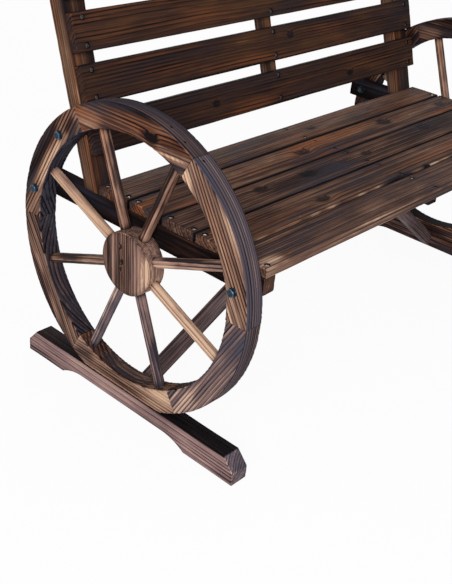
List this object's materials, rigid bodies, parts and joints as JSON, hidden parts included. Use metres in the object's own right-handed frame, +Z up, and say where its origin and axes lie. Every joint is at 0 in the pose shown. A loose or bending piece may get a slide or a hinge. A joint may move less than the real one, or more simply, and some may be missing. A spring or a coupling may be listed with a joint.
{
  "type": "wagon wheel bench",
  "caption": "Two-seat garden bench with slatted seat and leaning slatted back, carried at each end by a fixed spoked wooden wheel on a skid.",
  "frame": {"origin": "on the floor under the middle of the bench's box", "axes": "+X along the bench to the sitter's left, +Y from the front of the seat to the back, +Z up"},
  "size_m": [1.0842, 0.5756, 0.8568],
  "materials": {
    "rims": "scorched softwood with raised grain, oiled, semi-matt",
    "spokes": "scorched softwood with raised grain, oiled, semi-matt",
    "hubs": "scorched softwood with raised grain, oiled, semi-matt",
    "skids": "scorched softwood with raised grain, oiled, semi-matt",
    "seat_slats": "scorched softwood with raised grain, oiled, semi-matt",
    "back_slats": "scorched softwood with raised grain, oiled, semi-matt",
    "posts": "scorched softwood with raised grain, oiled, semi-matt",
    "rails": "scorched softwood with raised grain, oiled, semi-matt",
    "braces": "scorched softwood with raised grain, oiled, semi-matt",
    "dowels": "plain turned wood",
    "bolt_steel": "blued black, semi-gloss",
    "screw_steel": "dull zinc"
  },
  "bodies": {
    "root": {"left_felloe_1": "rims", "left_felloe_2": "rims", "left_felloe_3": "rims", "left_felloe_4": "rims", "left_felloe_5": "rims", "left_felloe_6": "rims", "right_felloe_1": "rims", "right_felloe_2": "rims", "right_felloe_3": "rims", "right_felloe_4": "rims", "right_felloe_5": "rims", "right_felloe_6": "rims", "left_spoke_1": "spokes", "left_spoke_2": "spokes", "left_spoke_3": "spokes", "left_spoke_4": "spokes", "left_spoke_5": "spokes", "left_spoke_6": "spokes", "left_spoke_7": "spokes", "left_spoke_8": "spokes", "right_spoke_1": "spokes", "right_spoke_2": "spokes", "right_spoke_3": "spokes", "right_spoke_4": "spokes", "right_spoke_5": "spokes", "right_spoke_6": "spokes", "right_spoke_7": "spokes", "right_spoke_8": "spokes", "left_hub": "hubs", "right_hub": "hubs", "left_skid": "skids", "right_skid": "skids", "seat_slat_1": "seat_slats", "seat_slat_2": "seat_slats", "seat_slat_3": "seat_slats", "seat_slat_4": "seat_slats", "seat_slat_5": "seat_slats", "left_rail": "rails", "right_rail": "rails", "middle_bearer": "rails", "left_brace": "braces", "right_brace": "braces", "left_post": "posts", "right_post": "posts", "middle_stile": "posts", "back_slat_1": "back_slats", "back_slat_2": "back_slats", "back_slat_3": "back_slats", "back_slat_4": "back_slats", "back_slat_5": "back_slats", "rail_bolts": "bolt_steel", "post_bolts": "bolt_steel", "bolt_washers": "bolt_steel", "bolt_nuts": "bolt_steel", "seat_screws": "screw_steel", "back_screws": "screw_steel", "brace_screws": "screw_steel", "skid_screws": "screw_steel", "felloe_dowels": "dowels"}
  },
  "joints": []
}
